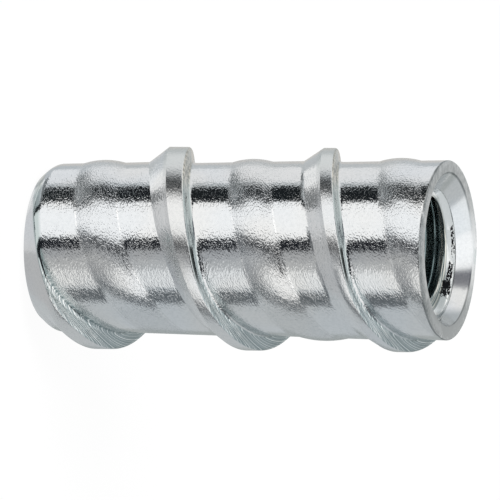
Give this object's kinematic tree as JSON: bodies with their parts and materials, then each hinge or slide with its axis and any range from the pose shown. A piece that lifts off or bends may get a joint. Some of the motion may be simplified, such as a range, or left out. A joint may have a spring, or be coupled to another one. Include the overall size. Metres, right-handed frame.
{
  "type": "self-tapping threaded insert",
  "caption": "Internally threaded steel sleeve with a coarse helical gripping rib, a low ridge between its turns, a chamfered tip and a countersunk mouth.",
  "frame": {"origin": "on the insert's axis, in the plane of the flat tip face", "axes": "+Z along the axis from the tip to the mouth of the threaded bore; +X and +Y across it, with the foot of the rib's steep flank leaving the tip face 196 degrees round from +X"},
  "size_m": [0.0152, 0.0152, 0.0318],
  "materials": {
    "zinc_steel": "bright zinc plating over formed steel, satin with fine drawing lines"
  },
  "bodies": {
    "root": {"insert": "zinc_steel"}
  },
  "joints": []
}
